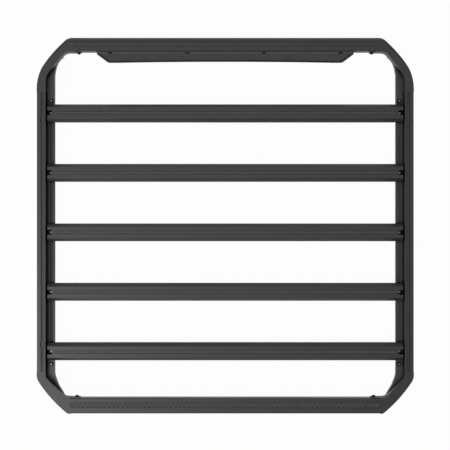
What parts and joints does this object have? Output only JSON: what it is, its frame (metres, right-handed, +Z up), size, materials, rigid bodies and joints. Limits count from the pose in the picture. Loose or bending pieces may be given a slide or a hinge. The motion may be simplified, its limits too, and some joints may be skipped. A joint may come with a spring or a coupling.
{
  "type": "roof rack platform",
  "caption": "Flat aluminium roof rack platform: slotted side rails, end beams and cast corners around slotted crossbars, with a wind deflector at the front.",
  "frame": {"origin": "middle of the platform in plan, at the height of the lowest edge of the wind deflector", "axes": "+X to the right of the vehicle, +Y to its front, +Z up"},
  "size_m": [1.35, 1.35, 0.086],
  "materials": {
    "powder_coat": "satin black powder coat",
    "cast_coat": "satin black powder coat on a casting",
    "strip_rubber": "matt ribbed rubber",
    "trim_rubber": "matt rubber",
    "plug_plastic": "fine textured black plastic",
    "panel_coat": "satin black powder coat on sheet",
    "bolt_steel": "dark zinc plated steel",
    "nut_steel": "zinc plated steel"
  },
  "bodies": {
    "root": {"left_rail": "powder_coat", "right_rail": "powder_coat", "front_beam": "powder_coat", "rear_beam": "powder_coat", "crossbar_1": "powder_coat", "crossbar_2": "powder_coat", "crossbar_3": "powder_coat", "crossbar_4": "powder_coat", "crossbar_5": "powder_coat", "front_left_corner": "cast_coat", "front_right_corner": "cast_coat", "rear_left_corner": "cast_coat", "rear_right_corner": "cast_coat", "crossbar_1_ends": "cast_coat", "crossbar_2_ends": "cast_coat", "crossbar_3_ends": "cast_coat", "crossbar_4_ends": "cast_coat", "crossbar_5_ends": "cast_coat", "crossbar_strips": "strip_rubber", "left_rail_strip": "strip_rubber", "right_rail_strip": "strip_rubber", "front_beam_strip": "strip_rubber", "rear_beam_strip": "strip_rubber", "rail_slot_plugs": "plug_plastic", "wind_deflector": "panel_coat", "deflector_trim": "trim_rubber", "deflector_screws": "bolt_steel", "crossbar_bolts": "bolt_steel", "corner_rail_bolts": "bolt_steel", "front_beam_bolts": "bolt_steel", "rear_beam_bolts": "bolt_steel", "flange_nuts": "nut_steel"}
  },
  "joints": []
}
